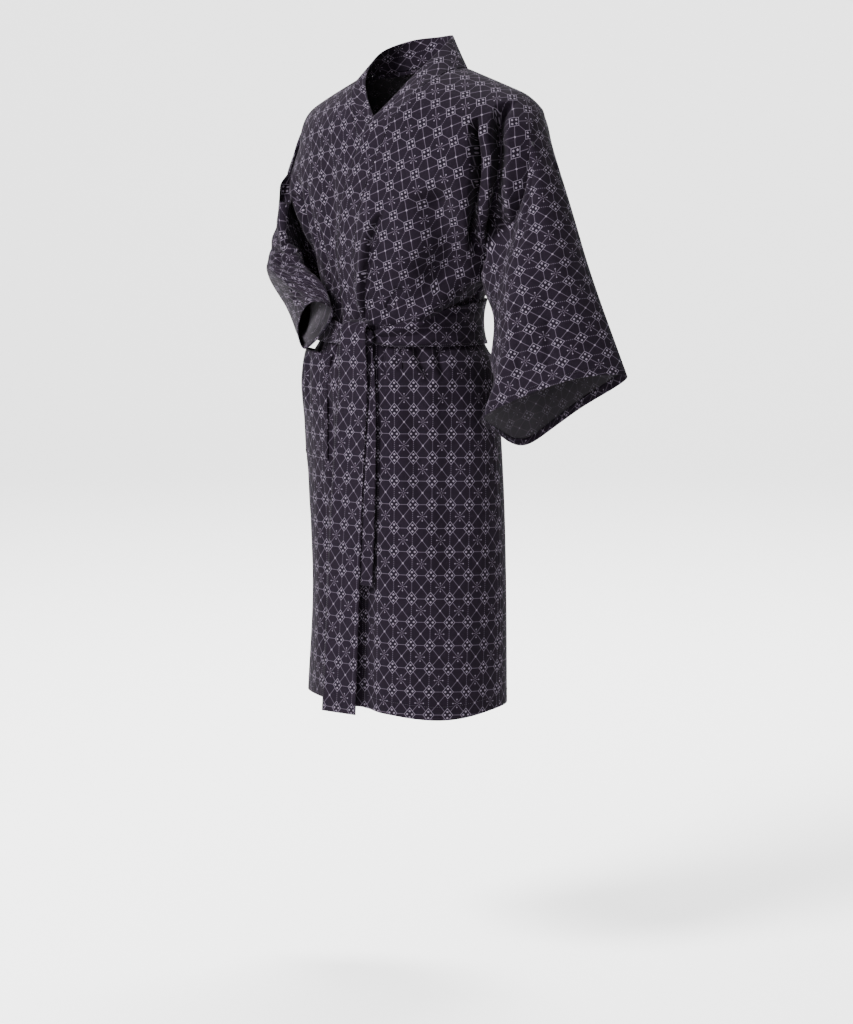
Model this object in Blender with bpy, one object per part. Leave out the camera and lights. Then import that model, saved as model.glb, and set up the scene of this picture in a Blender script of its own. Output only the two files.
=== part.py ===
# Happi coat, worn closed and tied: knee length, wide sleeves, a neck band, one patch pocket and its belt.
# Metres. +Z up, the front faces -Y, the wearer's left is +X, and the origin lies between the shoulders.
import math
from collections import namedtuple

import bmesh
import bpy
import numpy as np

wall = 0.0014  # cloth with its hems
seam_gap = 0.0003  # between two pieces sewn edge to edge in one plane
corner_gap = 0.0019  # from the middle of one cloth to the edge of another sewn on at an angle
layer = 0.0034  # from the middle of one cloth to the middle of the next
side_turn = 0.0014  # turn from the side line to the edge of a panel there
set_on_front = 0.0060  # turn from a front's edge to the sleeve sewn to it
set_on_back = 0.0120

dome_start = -0.130  # where the chest begins to round over to the shoulder
dome_length = 0.190  # along the cloth, from there up to the shoulder line
top_level = dome_start + dome_length
armpit_level = -0.350
crossing_level = -0.092  # where the two front edges cross
band_width = 0.045
hem_start = -0.700  # below this the hem's rise and fall grows

belt_lift = 0.0060
pocket_lift = 0.0020
pocket_bulge = 0.014

Ring = namedtuple("Ring", "height left right front back")
rings = (
    Ring(-1.034, 0.163, 0.206, 0.134, 0.104),
    Ring(-0.850, 0.161, 0.194, 0.133, 0.103),
    Ring(-0.700, 0.156, 0.204, 0.132, 0.103),
    Ring(-0.580, 0.148, 0.209, 0.131, 0.101),
    Ring(-0.500, 0.142, 0.206, 0.130, 0.096),
    Ring(-0.465, 0.132, 0.192, 0.128, 0.088),
    Ring(-0.446, 0.117, 0.177, 0.1265, 0.086),
    Ring(-0.410, 0.108, 0.168, 0.125, 0.084),
    Ring(-0.362, 0.122, 0.170, 0.128, 0.088),
    Ring(-0.320, 0.156, 0.180, 0.133, 0.100),
    Ring(-0.270, 0.203, 0.212, 0.133, 0.108),
    Ring(-0.200, 0.256, 0.246, 0.130, 0.112),
    Ring(-0.130, 0.265, 0.223, 0.122, 0.108),
)

Hem = namedtuple("Hem", "degrees level")
hem_line = (  # from the back round by the wearer's right, the front and the left
    Hem(-180, -1.034),
    Hem(-90, -1.034),
    Hem(-55, -1.025),
    Hem(-20, -1.026),
    Hem(10, -1.032),
    Hem(45, -1.040),
    Hem(90, -1.027),
    Hem(180, -1.034),
)

Across = namedtuple("Across", "level x")
free_edge = (  # the edge of the upper front, from the hem to where the fronts cross
    Across(-1.040, -0.058),
    Across(-0.700, -0.060),
    Across(-0.390, -0.060),
    Across(-0.300, -0.066),
    Across(-0.250, -0.060),
    Across(-0.200, -0.049),
    Across(-0.137, -0.026),
    Across(crossing_level, -0.003),
)
neck_seam = (  # where the band is sewn to a front, above the crossing
    Across(crossing_level, 0.043),
    Across(-0.048, 0.066),
    Across(-0.006, 0.083),
    Across(top_level, 0.094),
)
neck_depth = 0.062  # how far the back neckline dips, along the cloth

# Where the sleeves are set on, in degrees from the middle of the front or of the back.
Armhole = namedtuple("Armhole", "level left_front left_back right_front right_back")
armholes = (
    Armhole(armpit_level, 90, 90, 90, 90),
    Armhole(-0.330, 82, 80, 82, 82),
    Armhole(-0.270, 76, 66, 76, 72),
    Armhole(-0.200, 70, 55, 71, 65),
    Armhole(-0.130, 70, 50, 71, 62),
    Armhole(-0.050, 68, 53, 73, 67),
    Armhole(top_level, 62, 62, 74, 74),
)

Collar = namedtuple("Collar", "station x y z level")
collar_left = (  # upper edge of the band, and the level on the front where its seam lies
    Collar(0.0, 0.000, 0.060, 0.044, top_level),
    Collar(1.0, 0.040, 0.040, 0.045, top_level),
    Collar(2.0, 0.057, 0.000, 0.033, top_level),
    Collar(3.0, 0.053, -0.038, 0.006, -0.002),
    Collar(4.0, 0.036, -0.069, -0.025, -0.050),
    Collar(5.0, 0.018, -0.092, -0.055, -0.082),
)
collar_right = (
    Collar(0.0, 0.000, 0.060, 0.044, top_level),
    Collar(1.0, -0.045, 0.042, 0.038, top_level),
    Collar(2.0, -0.070, 0.000, 0.021, top_level),
    Collar(3.0, -0.070, -0.034, -0.003, -0.010),
    Collar(4.0, -0.055, -0.066, -0.032, -0.052),
    Collar(5.0, -0.030, -0.090, -0.062, -0.083),
)

# A crease runs from one place to the other on the front or back, and is a ridge where its depth is negative.
# The inner and outer widths are those towards and away from the middle of the garment.
Crease = namedtuple("Crease", "name x0 z0 x1 z1 depth inner outer bow")
front_creases = (
    Crease("armpit_groove", 0.188, -0.105, 0.176, -0.325, 0.018, 0.020, 0.014, 0.004),
    Crease("chest_ridge", 0.010, -0.200, -0.008, -0.395, -0.008, 0.018, 0.016, -0.008),
    Crease("valley", -0.006, -0.460, -0.008, -1.200, 0.011, 0.022, 0.024, 0.000),
    Crease("thigh_fold", 0.064, -0.462, 0.086, -0.720, 0.009, 0.018, 0.022, 0.006),
    Crease("side_fold", 0.118, -0.460, 0.126, -0.860, 0.007, 0.016, 0.018, 0.000),
    Crease("arm_crease_right", -0.190, -0.170, -0.160, -0.330, 0.012, 0.014, 0.012, 0.006),
    Crease("chest_fold_right", -0.095, -0.130, -0.090, -0.370, 0.007, 0.018, 0.018, 0.010),
    Crease("hip_fold_right", -0.105, -0.640, -0.102, -1.000, 0.008, 0.018, 0.018, 0.000),
)
back_creases = (
    Crease("blade_left", 0.160, -0.120, 0.110, -0.350, 0.016, 0.018, 0.018, 0.006),
    Crease("blade_right", -0.168, -0.130, -0.120, -0.350, 0.016, 0.018, 0.018, -0.006),
    Crease("waist_fold", 0.030, -0.230, 0.020, -0.385, 0.008, 0.018, 0.018, 0.000),
    Crease("seat_left", 0.072, -0.450, 0.088, -1.200, 0.012, 0.022, 0.026, 0.006),
    Crease("seat_middle", -0.020, -0.450, -0.014, -0.900, 0.010, 0.020, 0.022, 0.000),
    Crease("seat_right", -0.104, -0.450, -0.120, -1.200, 0.012, 0.024, 0.020, -0.006),
)
crease_fade = 0.22  # share of a crease's length over which each end dies away

# Each row is one loop of a sleeve through six places, the two lower ones either side of its under fold.
Loop = namedtuple("Loop", "along fold front front_low under back_low back")
sleeve_left_loops = (
    Loop(
        0.30,
        (0.280, 0.004, -0.190),
        (0.276, -0.058, -0.215),
        (0.234, -0.076, -0.320),
        (0.184, -0.022, -0.400),
        (0.197, 0.048, -0.345),
        (0.241, 0.053, -0.240),
    ),
    Loop(
        0.60,
        (0.329, 0.006, -0.322),
        (0.316, -0.068, -0.340),
        (0.252, -0.102, -0.425),
        (0.190, -0.046, -0.484),
        (0.204, 0.042, -0.468),
        (0.266, 0.060, -0.380),
    ),
    Loop(
        1.00,
        (0.402, 0.002, -0.481),
        (0.342, -0.082, -0.486),
        (0.206, -0.100, -0.545),
        (0.180, -0.032, -0.580),
        (0.190, 0.038, -0.603),
        (0.299, 0.024, -0.539),
    ),
)
sleeve_right_loops = (
    Loop(
        0.28,
        (-0.258, -0.002, -0.200),
        (-0.232, -0.064, -0.228),
        (-0.192, -0.098, -0.292),
        (-0.194, 0.000, -0.372),
        (-0.232, 0.060, -0.330),
        (-0.268, 0.056, -0.250),
    ),
    Loop(
        0.52,
        (-0.286, 0.000, -0.312),
        (-0.238, -0.084, -0.296),
        (-0.158, -0.100, -0.320),
        (-0.196, -0.030, -0.404),
        (-0.250, 0.046, -0.400),
        (-0.296, 0.044, -0.352),
    ),
    Loop(
        0.76,
        (-0.266, -0.056, -0.348),
        (-0.186, -0.134, -0.335),
        (-0.086, -0.138, -0.350),
        (-0.128, -0.122, -0.424),
        (-0.208, -0.046, -0.434),
        (-0.264, -0.012, -0.396),
    ),
    Loop(
        1.00,
        (-0.119, -0.146, -0.388),
        (-0.083, -0.156, -0.375),
        (-0.069, -0.133, -0.392),
        (-0.099, -0.126, -0.430),
        (-0.150, -0.108, -0.457),
        (-0.160, -0.112, -0.425),
    ),
)
SleeveFold = namedtuple("SleeveFold", "name around along depth wide long")
sleeve_left_folds = (
    SleeveFold("blade_swell", 0.75, 0.06, -0.010, 0.13, 0.07),
    SleeveFold("arm_front", 0.20, 0.50, 0.006, 0.040, 0.40),
    SleeveFold("arm_back", 0.74, 0.60, 0.008, 0.045, 0.40),
)
sleeve_right_folds = (
    SleeveFold("arm_swell", 0.25, 0.07, -0.008, 0.12, 0.08),
    SleeveFold("elbow_upper", 0.28, 0.40, 0.010, 0.14, 0.034),
    SleeveFold("elbow_middle", 0.28, 0.52, 0.008, 0.14, 0.030),
    SleeveFold("elbow_lower", 0.28, 0.64, 0.006, 0.12, 0.030),
)

Belt = namedtuple("Belt", "degrees top bottom")
belt_rows = (  # drawn in at the knot
    Belt(0, -0.4225, -0.4375),
    Belt(15, -0.4150, -0.4430),
    Belt(38, -0.3990, -0.4440),
    Belt(70, -0.3810, -0.4445),
    Belt(110, -0.3750, -0.4450),
    Belt(180, -0.3750, -0.4450),
)
knot_centre = (0.000, -0.1418, -0.4300)
knot_half = (0.018, 0.0090, 0.013)

Strip = namedtuple("Strip", "height x depth width")
long_end = (  # depth is measured forwards from the axis of the body
    Strip(-0.404, -0.011, 0.1365, 0.046),
    Strip(-0.410, -0.012, 0.1480, 0.048),
    Strip(-0.430, -0.014, 0.1522, 0.052),
    Strip(-0.455, -0.016, 0.1510, 0.055),
    Strip(-0.510, -0.020, 0.1455, 0.059),
    Strip(-0.600, -0.029, 0.1430, 0.062),
    Strip(-0.750, -0.039, 0.1425, 0.066),
    Strip(-0.900, -0.046, 0.1430, 0.068),
    Strip(-1.040, -0.053, 0.1435, 0.070),
)
short_end = (
    Strip(-0.4435, 0.001, 0.1418, 0.030),
    Strip(-0.480, 0.001, 0.1398, 0.036),
    Strip(-0.550, 0.000, 0.1395, 0.044),
    Strip(-0.650, -0.004, 0.1395, 0.050),
    Strip(-0.740, -0.010, 0.1395, 0.056),
    Strip(-0.828, -0.016, 0.1395, 0.060),
)

cloth_colour = (0.016, 0.013, 0.022, 1.0)
belt_colour = (0.020, 0.016, 0.026, 1.0)
cloth_roughness = 0.85


def curve(keys, values, at):
    """Values on a smooth curve through a table, worked out at each entry of at."""
    keys = np.asarray(keys, float)
    values = np.asarray(values, float)
    slopes = np.gradient(values, keys, axis=0)
    at = np.clip(np.asarray(at, float), keys[0], keys[-1])
    low = np.clip(np.searchsorted(keys, at) - 1, 0, len(keys) - 2)
    span = keys[low + 1] - keys[low]
    t = (at - keys[low]) / span
    if values.ndim > 1:
        shape = t.shape + (1,) * (values.ndim - 1)
        t = t.reshape(shape)
        span = span.reshape(shape)
    start = (2 * t**3 - 3 * t**2 + 1) * values[low] + (t**3 - 2 * t**2 + t) * span * slopes[low]
    end = (3 * t**2 - 2 * t**3) * values[low + 1] + (t**3 - t**2) * span * slopes[low + 1]
    return start + end


def column(rows, name, at):
    """One named column of a table, whose first column is the key."""
    return curve([row[0] for row in rows], [getattr(row, name) for row in rows], at)


def smooth(share):
    share = np.clip(share, 0.0, 1.0)
    return share * share * (3 - 2 * share)


def shoulder_height(x):
    """Height of the shoulder line, a little lower on the wearer's right."""
    out = np.abs(x)
    return -0.019 + 0.05 * x - 0.40 * (out - 0.106) - 10.0 * np.maximum(out - 0.19, 0.0) ** 2


def body(angle, level):
    """Cloth round the body: angle is 0 at the middle of the front and positive to the wearer's left."""
    angle = np.asarray(angle, float)
    turned = (angle + math.pi) % (2 * math.pi) - math.pi
    hem = column(hem_line, "level", np.degrees(turned))
    low = np.clip((hem_start - level) / (hem_start - rings[0].height), 0.0, 1.0)
    height = np.minimum(level, dome_start)
    sine = np.sin(angle)
    cosine = np.cos(angle)
    half = np.where(sine > 0, column(rings, "left", height), column(rings, "right", height))
    deep = np.where(cosine > 0, column(rings, "front", height), column(rings, "back", height))
    x = half * sine
    y = -deep * cosine
    turn = np.clip((level - dome_start) / dome_length, 0.0, 1.0) * math.pi / 2
    y = y * np.cos(turn)
    z = height + (shoulder_height(x) - dome_start) * np.sin(turn)
    return np.stack([x, y, z + (hem - rings[0].height) * low], axis=-1)


def outward(angle, level):
    """Unit normal of the body's cloth."""
    across = body(angle + 0.01, level) - body(angle - 0.01, level)
    up = body(angle, level + 0.002) - body(angle, level - 0.002)
    normal = np.cross(across, up)
    return normal / np.maximum(np.linalg.norm(normal, axis=-1, keepdims=True), 1e-9)


def push_at(x, z, creases):
    """How far the creases of a table press the cloth in at x and z."""
    push = np.zeros_like(x)
    for crease in creases:
        along = np.array([crease.x1 - crease.x0, crease.z1 - crease.z0])
        length = np.linalg.norm(along)
        along = along / length
        t = ((x - crease.x0) * along[0] + (z - crease.z0) * along[1]) / length
        off = (x - crease.x0) * -along[1] + (z - crease.z0) * along[0]
        off = off - crease.bow * 4 * t * (1 - t)
        width = np.where(off * np.sign(crease.x0 + crease.x1) < 0, crease.inner, crease.outer)
        fade = smooth(np.minimum(t, 1 - t) / crease_fade)
        push += crease.depth * np.exp(-((off / width) ** 2)) * fade
    return push


def surface(angle, level, creases, lift=0.0):
    """The body's cloth with its creases, moved out by lift."""
    base = body(angle, level)
    move = lift - push_at(base[..., 0], base[..., 2], creases)
    return base + outward(angle, level) * np.asarray(move)[..., None]


def upper_lift(angle, level):
    """The upper front lies one layer off the lower one, and comes down to it at the side and shoulder."""
    x = body(angle, level)[..., 0]
    return layer * smooth((0.125 - x) / 0.055) * smooth((0.020 - level) / 0.090)


def front_surface(angle, level, side, lift=0.0):
    if side > 0:
        lift = lift + upper_lift(angle, level)
    return surface(angle, level, front_creases, lift)


def angle_at(x, level):
    """Angle on the front where the cloth lies at x."""
    height = np.minimum(level, dome_start)
    half = np.where(x > 0, column(rings, "left", height), column(rings, "right", height))
    return np.arcsin(np.clip(x / half, -1.0, 1.0))


def side_angle(level, side, face):
    """Where a panel ends at the side: the side seam, and above the armpit the armhole."""
    name = ("left_" if side > 0 else "right_") + face
    set_on = np.radians(column(armholes, name, level))
    return side * np.where(level < armpit_level + 1e-6, math.pi / 2 - side_turn, set_on)


def seam_x(level, side):
    """Where the band is sewn to a front. The right front mirrors the left one, and lies under it."""
    below = column(free_edge, "x", level) + band_width
    above = column(neck_seam, "x", level)
    return side * np.where(level < crossing_level, below, above)


def material(name, colour):
    made = bpy.data.materials.new(name)
    made.use_nodes = True
    shader = made.node_tree.nodes["Principled BSDF"]
    shader.inputs["Base Color"].default_value = colour
    shader.inputs["Roughness"].default_value = cloth_roughness
    return made


def add_piece(name, made, colour):
    mesh = bpy.data.meshes.new(name)
    made.to_mesh(mesh)
    made.free()
    mesh.shade_smooth()
    piece = bpy.data.objects.new(name, mesh)
    bpy.context.scene.collection.objects.link(piece)
    piece.data.materials.append(material(name, colour))
    return piece


def add_cloth(name, points, colour=cloth_colour, closed=False):
    """A cloth made from a grid of middle points, given its wall by a Solidify modifier."""
    rows, cols = points.shape[:2]
    made = bmesh.new()
    verts = [[made.verts.new(points[i, j]) for j in range(cols)] for i in range(rows)]
    for i in range(rows - 1):
        for j in range(cols if closed else cols - 1):
            k = (j + 1) % cols
            made.faces.new((verts[i][j], verts[i][k], verts[i + 1][k], verts[i + 1][j]))
    piece = add_piece(name, made, colour)
    thick = piece.modifiers.new("wall", "SOLIDIFY")
    thick.thickness = wall
    thick.offset = 0.0
    return piece


def body_levels(top):
    """Rows of a body panel: close together at the belt and over the shoulder."""
    skirt = np.linspace(rings[0].height, -0.470, 10)[:-1]
    waist = np.linspace(-0.470, armpit_level, 6)[:-1]
    chest = np.linspace(armpit_level, dome_start, 9)[:-1]
    shoulder = np.linspace(dome_start, top, 7)
    return np.concatenate([skirt, waist, chest, shoulder])


def front_points(side, cols):
    """Middle points of a front, from the band's seam out to its side edge, closer together there."""
    levels = body_levels(top_level - seam_gap)
    inner = angle_at(seam_x(levels, side) + side * seam_gap, levels)
    outer = side_angle(levels, side, "front")
    share = 1 - (1 - np.linspace(0.0, 1.0, cols)) ** 1.15
    angles = inner[:, None] + (outer - inner)[:, None] * share
    level_grid = np.repeat(levels[:, None], cols, axis=1)
    points = front_surface(angles, level_grid, side)
    points[-1, :, 1] = np.minimum(points[-1, :, 1], -seam_gap)
    return points


def make_front(name, side, cols):
    points = front_points(side, cols)
    if side < 0:
        points = points[:, ::-1]
    return add_cloth(name, points)


def back_neck_level(x):
    """The back neckline, lowest in the middle."""
    share = np.clip(1 - (x / neck_seam[-1].x) ** 2, 0.0, 1.0)
    return top_level - seam_gap - neck_depth * share**0.6


def back_points(outer_cols=7, neck_cols=9):
    """Middle points of the back, from the wearer's left side to the right one."""
    levels = body_levels(0.0)
    rise = np.clip((levels - dome_start) / -dome_start, 0.0, 1.0)[:, None]
    risen = levels + rise[:, 0] * (top_level - seam_gap)
    left = math.pi - side_angle(risen, 1, "back")
    right = math.pi - side_angle(risen, -1, "back")
    neck_left = math.pi - angle_at(neck_seam[-1].x, dome_start)
    neck_right = math.pi + angle_at(neck_seam[-1].x, dome_start) * rings[-1].left / rings[-1].right
    share = np.linspace(0.0, 1.0, outer_cols)
    neck = np.linspace(0.0, 1.0, neck_cols)[1:-1]
    spans = (
        left[:, None] + (neck_left - left)[:, None] * share,
        np.repeat((neck_left + (neck_right - neck_left) * neck)[None, :], len(levels), axis=0),
        neck_right + (right - neck_right)[:, None] * share,
    )
    angles = np.concatenate(spans, axis=1)
    level_grid = np.repeat(levels[:, None], angles.shape[1], axis=1)
    x = body(angles, level_grid)[..., 0]
    level_grid = level_grid + rise * back_neck_level(x)
    points = surface(angles, level_grid, back_creases)
    points[-1, :, 1] = np.maximum(points[-1, :, 1], seam_gap)
    return points


def armhole_loop(side, count):
    """Points round the armhole: from the shoulder down the front to the armpit and up the back."""
    levels = np.linspace(top_level - seam_gap, armpit_level, count // 2 + 1)
    off = side * np.clip((levels - armpit_level) / 0.030, 0.0, 1.0)
    front_angle = side_angle(levels, side, "front") + off * set_on_front
    front = front_surface(front_angle, levels, side, corner_gap)
    back_angle = math.pi - side_angle(levels, side, "back") - off * set_on_back
    back = surface(back_angle, levels, back_creases, corner_gap)
    return np.concatenate([front[:-1], back[::-1][:-1]])


def loop_points(row, count):
    """A closed loop, smooth through the six places of a row."""
    places = np.array(row[1:])
    wrapped = np.concatenate([places[-2:], places, places[:2]])
    keys = np.arange(-2, 8) / 6
    return curve(keys, wrapped, np.arange(count) / count)


def sleeve_points(side, loops, folds, rows, count=30):
    keys = [0.0] + [row.along for row in loops]
    shapes = [armhole_loop(side, count)] + [loop_points(row, count) for row in loops]
    along = np.linspace(0.0, 1.0, rows)
    points = curve(keys, np.array(shapes), along)
    around = np.arange(count) / count
    inward = points.mean(axis=1, keepdims=True) - points
    inward = inward / np.linalg.norm(inward, axis=-1, keepdims=True)
    push = np.zeros((rows, count))
    for fold in folds:
        far = (around[None, :] - fold.around) / fold.wide
        near = (along[:, None] - fold.along) / fold.long
        push += fold.depth * np.exp(-(far**2) - near**2)
    push *= smooth(along / 0.05)[:, None]
    return points + inward * push[..., None]


def make_sleeve(name, side, loops, folds, rows):
    points = sleeve_points(side, loops, folds, rows)
    if side < 0:
        points = points[:, ::-1]
    return add_cloth(name, points, closed=True)


def band_half(side, cols=4):
    """Middle points of half the band, from the hem to the middle of the back, seam first."""
    share = np.linspace(0.0, 1.0, cols)[None, :]
    low = body_levels(0.0)
    low = np.append(low[low < crossing_level - 0.010], crossing_level - 0.006)
    rim = side * column(free_edge, "x", low)
    seam = side * (column(free_edge, "x", low) + band_width - seam_gap)
    x = seam[:, None] * (1 - share) + rim[:, None] * share
    level_grid = np.repeat(low[:, None], cols, axis=1)
    flat = front_surface(angle_at(x, level_grid), level_grid, side)
    rows = collar_left if side > 0 else collar_right
    stations = np.linspace(5.0, 0.0, 16)
    edge = np.stack([column(rows, axis, stations) for axis in "xyz"], axis=-1)
    level = np.minimum(column(rows, "level", stations), top_level)
    seam_front = front_surface(angle_at(side * column(neck_seam, "x", level), level), level, side)
    back_x = side * neck_seam[-1].x * np.sin(np.clip(stations / 2.0, 0.0, 1.0) * math.pi / 2)
    back_level = back_neck_level(back_x)
    seam_back = surface(math.pi - angle_at(back_x, back_level), back_level, back_creases)
    seam = np.where((stations > 2.0)[:, None], seam_front, seam_back)
    off = edge - seam
    seam = seam + off / np.linalg.norm(off, axis=1, keepdims=True) * corner_gap
    share = share[..., None]
    raised = seam[:, None] * (1 - share) + edge[:, None] * share
    return np.concatenate([flat, raised])


def make_band():
    left = band_half(1)
    right = band_half(-1)
    points = np.concatenate([left, right[::-1][1:]])
    return add_cloth("neck_band", points)


def belt_points(count=60, rows=4):
    angle = np.arange(count) / count * 2 * math.pi
    turned = np.degrees(np.abs((angle + math.pi) % (2 * math.pi) - math.pi))
    top = column(belt_rows, "top", turned)
    bottom = column(belt_rows, "bottom", turned)
    share = np.linspace(0.0, 1.0, rows)[:, None]
    level = bottom[None, :] * (1 - share) + top[None, :] * share
    angle = np.repeat(angle[None, :], rows, axis=0)
    flat = body(angle, level) * np.array([1.0, 1.0, 0.0])
    points = flat + flat / np.linalg.norm(flat, axis=-1, keepdims=True) * belt_lift
    points[..., 2] = level
    return points


def strip_points(rows, steps, cols=5):
    """Middle points of a hanging strip, with so many steps between two rows of its table."""
    heights = [row.height for row in rows][::-1]
    count = (len(rows) - 1) * steps + 1
    at = np.interp(np.arange(count) / steps, np.arange(len(rows)), heights)
    x = curve(heights, [row.x for row in rows][::-1], at)
    depth = curve(heights, [row.depth for row in rows][::-1], at)
    width = curve(heights, [row.width for row in rows][::-1], at)
    points = np.zeros((count, cols, 3))
    points[..., 0] = x[:, None] + width[:, None] * np.linspace(-0.5, 0.5, cols)
    points[..., 1] = -depth[:, None]
    points[..., 2] = at[:, None]
    return points


def make_knot():
    """The wrapped lump under the long end, a rounded block held against the belt."""
    made = bmesh.new()
    bmesh.ops.create_uvsphere(made, u_segments=18, v_segments=10, radius=1.0)
    for vert in made.verts:
        for axis in range(3):
            vert.co[axis] = knot_centre[axis] + knot_half[axis] * vert.co[axis]
    return add_piece("belt_knot", made, belt_colour)


def pocket_points(rows=9, cols=9):
    """A patch on the right front, made from the panel's surface moved out, its mouth standing open."""
    levels = np.linspace(-0.632, -0.464, rows)
    share = np.linspace(-1.0, 1.0, cols)
    angles = math.radians(-50) - share[::-1] * math.radians(23)
    angles = np.repeat(angles[None, :], rows, axis=0)
    level_grid = np.repeat(levels[:, None], cols, axis=1)
    up = np.linspace(0.0, 1.0, rows)[:, None]
    bulge = pocket_bulge * up**1.6 * (1 - share[None, :] ** 2)
    return front_surface(angles, level_grid, -1, pocket_lift + bulge)


for old in list(bpy.data.objects):
    bpy.data.objects.remove(old)

make_front("front_left", 1, 21)
make_front("front_right", -1, 18)
add_cloth("back", back_points())
make_sleeve("sleeve_left", 1, sleeve_left_loops, sleeve_left_folds, 16)
make_sleeve("sleeve_right", -1, sleeve_right_loops, sleeve_right_folds, 20)
make_band()
add_cloth("pocket_right", pocket_points())
add_cloth("belt", belt_points(), belt_colour, closed=True)
make_knot()
add_cloth("belt_end_long", strip_points(long_end, 3), belt_colour)
add_cloth("belt_end_short", strip_points(short_end, 2), belt_colour)
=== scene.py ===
import math
from collections import namedtuple

import bpy
import numpy as np
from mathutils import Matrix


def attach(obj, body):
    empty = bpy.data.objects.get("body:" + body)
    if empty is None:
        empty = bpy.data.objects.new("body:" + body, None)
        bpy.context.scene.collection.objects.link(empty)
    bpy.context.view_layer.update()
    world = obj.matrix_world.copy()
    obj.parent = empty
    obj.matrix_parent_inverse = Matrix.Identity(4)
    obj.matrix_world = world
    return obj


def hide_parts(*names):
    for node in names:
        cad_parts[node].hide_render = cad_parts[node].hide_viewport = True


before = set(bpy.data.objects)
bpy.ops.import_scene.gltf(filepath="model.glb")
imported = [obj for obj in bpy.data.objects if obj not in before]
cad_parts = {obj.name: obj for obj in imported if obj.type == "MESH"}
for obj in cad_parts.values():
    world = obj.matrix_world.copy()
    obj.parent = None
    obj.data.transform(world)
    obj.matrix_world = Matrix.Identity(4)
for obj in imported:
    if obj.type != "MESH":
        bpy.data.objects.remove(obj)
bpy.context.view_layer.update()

print("frame loaded:", len(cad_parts), "nodes")

# metres, and millimetres where a line says so; the front faces -Y, the wearer's left is +X,
# and the origin lies between the shoulders
coat = {
    "domeStart": -0.130,       # where the chest begins to round over to the shoulder
    "domeLength": 0.190,       # along the cloth, from there to the shoulder line
    "armpit": -0.350,
    "crossing": -0.092,        # where the two front edges cross
    "bandWidth": 0.045,
    "hemStart": -0.700,        # below this the hem's rise and fall grows
    "hemDepth": 0.022,
    "hemGap": 0.0013,          # from the middle of the cloth to the middle of its turned hem
    "layer": 0.0034,           # from the middle of one cloth to the middle of the next
    "creaseFade": 0.22,        # share of a crease's length over which each end dies away
    "foldFade": 0.16,          # the same for a narrow fold
    "neckDepth": 0.062,        # how far the back neckline dips, along the cloth
    "neckRound": 0.6,          # below 1 the dip is flatter in its middle
    "waistSplit": -0.410,      # under the belt, where the lie of the cloth changes
    "sideTurn": 0.0006,        # radians between a panel's edge and the side
    "wall": 0.0007,
    "step": 0.0042,            # between the rows of a grid
}
topLevel = coat["domeStart"] + coat["domeLength"]

rings = {
    "height": (-1.034, -0.850, -0.700, -0.580, -0.500, -0.465, -0.446,
               -0.410, -0.362, -0.320, -0.270, -0.200, -0.130),
    "left": (0.163, 0.161, 0.156, 0.148, 0.142, 0.132, 0.117, 0.108, 0.122, 0.156, 0.203, 0.256, 0.265),
    "right": (0.206, 0.194, 0.204, 0.209, 0.206, 0.192, 0.177, 0.168, 0.170, 0.180, 0.212, 0.246, 0.223),
    "front": (0.134, 0.133, 0.132, 0.131, 0.130, 0.128, 0.1265, 0.125, 0.128, 0.133, 0.133, 0.130, 0.122),
    "back": (0.104, 0.103, 0.103, 0.101, 0.096, 0.088, 0.086, 0.084, 0.088, 0.100, 0.108, 0.112, 0.108),
}
bottomLevel = rings["height"][0]
hemLine = {  # from the back round by the wearer's right, the front and the left
    "degrees": (-180, -90, -55, -20, 10, 45, 90, 180),
    "level": (-1.034, -1.034, -1.025, -1.026, -1.032, -1.040, -1.027, -1.034),
}
freeEdge = {  # the edge of the upper front, from the hem to where the fronts cross
    "level": (-1.040, -0.700, -0.390, -0.300, -0.250, -0.200, -0.137, -0.092),
    "x": (-0.058, -0.060, -0.060, -0.066, -0.060, -0.049, -0.026, -0.003),
}
neckSeam = {  # where the band is sewn to a front, above the crossing
    "level": (-0.092, -0.048, -0.006, topLevel),
    "x": (0.043, 0.066, 0.083, 0.094),
}
armholes = {  # degrees from the middle of the front or of the back
    "level": (-0.350, -0.330, -0.270, -0.200, -0.130, -0.050, topLevel),
    "leftFront": (90, 82, 76, 70, 70, 68, 62),
    "leftBack": (90, 80, 66, 55, 50, 53, 62),
    "rightFront": (90, 82, 76, 71, 71, 73, 74),
    "rightBack": (90, 82, 72, 65, 62, 67, 74),
}

shoulder = {  # the shoulder line falls from beside the neck, and rounds over at its end
    "height": -0.019, "tilt": 0.05, "fallFrom": 0.106, "fall": 0.40, "roundFrom": 0.19, "roundness": 10.0,
}
overlap = {"side": 0.125, "sideFade": 0.055, "shoulder": 0.020, "shoulderFade": 0.090}
sideName = {1: "left", -1: "right"}

perMetre = 1000   # creases, folds and the sleeves' loops are given in millimetres
Crease = namedtuple("Crease", "x0 z0 x1 z1 depth inner outer bow")
Fold = namedtuple("Fold", "depth width path edge")


def creaseRows(*rows):
    # each runs from one place to the other, and is a ridge where its depth is negative
    return [Crease(*(np.array(row) / perMetre)) for row in rows]


def foldRows(*rows, edge=2):
    # narrower ones, each with depth, width and a few places to follow; a higher edge gives steeper sides
    made = []
    for depth, width, *path in rows:
        made.append(Fold(depth / perMetre, width / perMetre, np.array(path) / perMetre, edge))
    return made


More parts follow.
